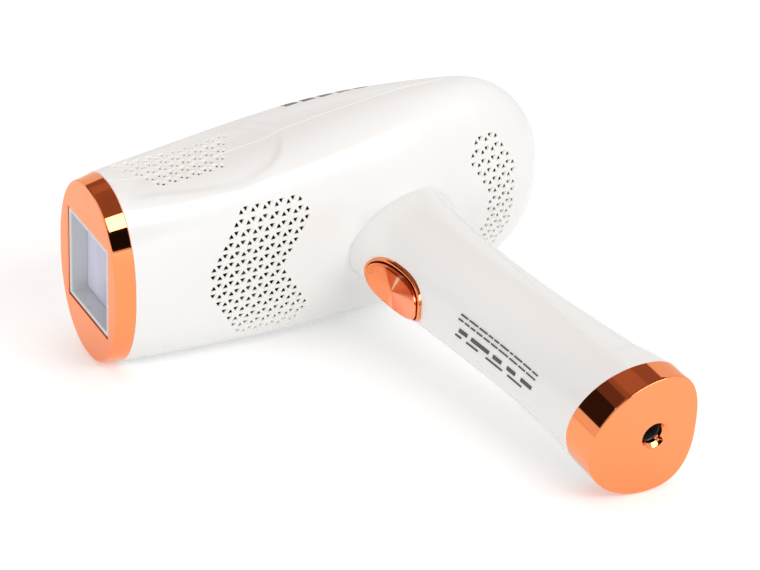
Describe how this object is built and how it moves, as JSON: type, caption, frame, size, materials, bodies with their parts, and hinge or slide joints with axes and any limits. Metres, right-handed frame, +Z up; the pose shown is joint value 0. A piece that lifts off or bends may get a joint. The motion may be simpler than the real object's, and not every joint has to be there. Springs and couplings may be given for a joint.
{
  "type": "ipl hair remover",
  "caption": "Pistol-shaped hair remover: a flash lamp behind a window in the nose of a wide vented head, with a trigger and a power socket in its handle.",
  "frame": {"origin": "centre of the bounding box at its base, on the surface that the hand piece lies on", "axes": "+Z up from the surface it lies on; +Y along the handle towards the head and its top side; -X the way the window faces, 5 degrees below level"},
  "size_m": [0.157, 0.1702, 0.0777],
  "materials": {
    "pearl_plastic": "pearl white, smooth gloss",
    "rose_gold_plate": "polished rose gold plating",
    "white_plastic": "smooth white",
    "filter_glass": "clear with a faint violet cast",
    "lamp_glass": "clear quartz",
    "black_plastic": "fine satin",
    "mirror_aluminium": "bright rolled sheet",
    "cast_aluminium": "as extruded",
    "white_ceramic": "unglazed",
    "steel": "plain zinc",
    "smoked_lens": "smoked, high gloss",
    "circuit_board": "green solder mask",
    "copper": "enamelled wire",
    "red_sheath": "soft"
  },
  "bodies": {
    "hand_piece": {"nose_ring": "rose_gold_plate", "window_frame": "white_plastic", "filter_glass": "filter_glass", "lamp_cartridge": "black_plastic", "reflector": "mirror_aluminium", "flash_lamp": "lamp_glass", "lamp_holder_upper": "white_ceramic", "lamp_holder_lower": "white_ceramic", "heat_sink": "cast_aluminium", "fan_frame": "black_plastic", "fan_shaft": "steel", "head_lower_shell": "pearl_plastic", "head_upper_shell": "pearl_plastic", "display_window": "smoked_lens", "display_board": "circuit_board", "power_switch_body": "black_plastic", "board_screw_1": "steel", "board_screw_2": "steel", "board_screw_3": "steel", "board_screw_4": "steel", "power_board": "circuit_board", "flash_capacitor": "black_plastic", "transformer_core": "cast_aluminium", "transformer_winding": "copper", "trigger_coil": "copper", "trigger_ring": "rose_gold_plate", "trigger_spring": "steel", "trigger_board": "circuit_board", "trigger_switch_body": "black_plastic", "handle_front_shell": "pearl_plastic", "handle_screw_1": "steel", "handle_screw_2": "steel", "handle_back_shell": "pearl_plastic", "control_board": "circuit_board", "control_chip": "black_plastic", "supply_lead": "red_sheath", "return_lead": "black_plastic", "end_cap": "rose_gold_plate", "socket_body": "black_plastic", "socket_pin": "steel", "socket_nut": "steel"},
    "fan": {"fan_rotor": "black_plastic"},
    "trigger": {"trigger_button": "rose_gold_plate"},
    "trigger_plunger": {"trigger_switch_plunger": "white_ceramic"},
    "power_key": {"power_button": "rose_gold_plate"},
    "power_plunger": {"power_switch_plunger": "white_ceramic"}
  },
  "joints": [
    {"name": "fan_spin", "type": "hinge", "parent": "hand_piece", "child": "fan", "pos_m": [-0.03606, 0.06013, 0.03423], "axis": [0.9963, -0.0122, 0.0851], "continuous": true},
    {"name": "trigger_press", "type": "slide", "parent": "hand_piece", "child": "trigger", "axis": [0.9877, 0.1177, 0.1031], "range_m": [0, 0.0012], "stiffness_N_per_m": 900, "springref_m": -0.0008, "deforming": ["trigger_spring"]},
    {"name": "trigger_plunger_press", "type": "slide", "parent": "hand_piece", "child": "trigger_plunger", "axis": [0.9877, 0.1177, 0.1031], "range_m": [0, 0.0012]},
    {"name": "power_press", "type": "slide", "parent": "hand_piece", "child": "power_key", "axis": [0, -0.9898, -0.1422], "range_m": [0, 0.0006], "stiffness_N_per_m": 900, "springref_m": -0.0008},
    {"name": "power_plunger_press", "type": "slide", "parent": "hand_piece", "child": "power_plunger", "axis": [0, -0.9898, -0.1422], "range_m": [0, 0.0006]}
  ],
  "couplings": [
    {"joint": "trigger_plunger_press", "follows": "trigger_press", "ratio": 1},
    {"joint": "power_plunger_press", "follows": "power_press", "ratio": 1}
  ]
}
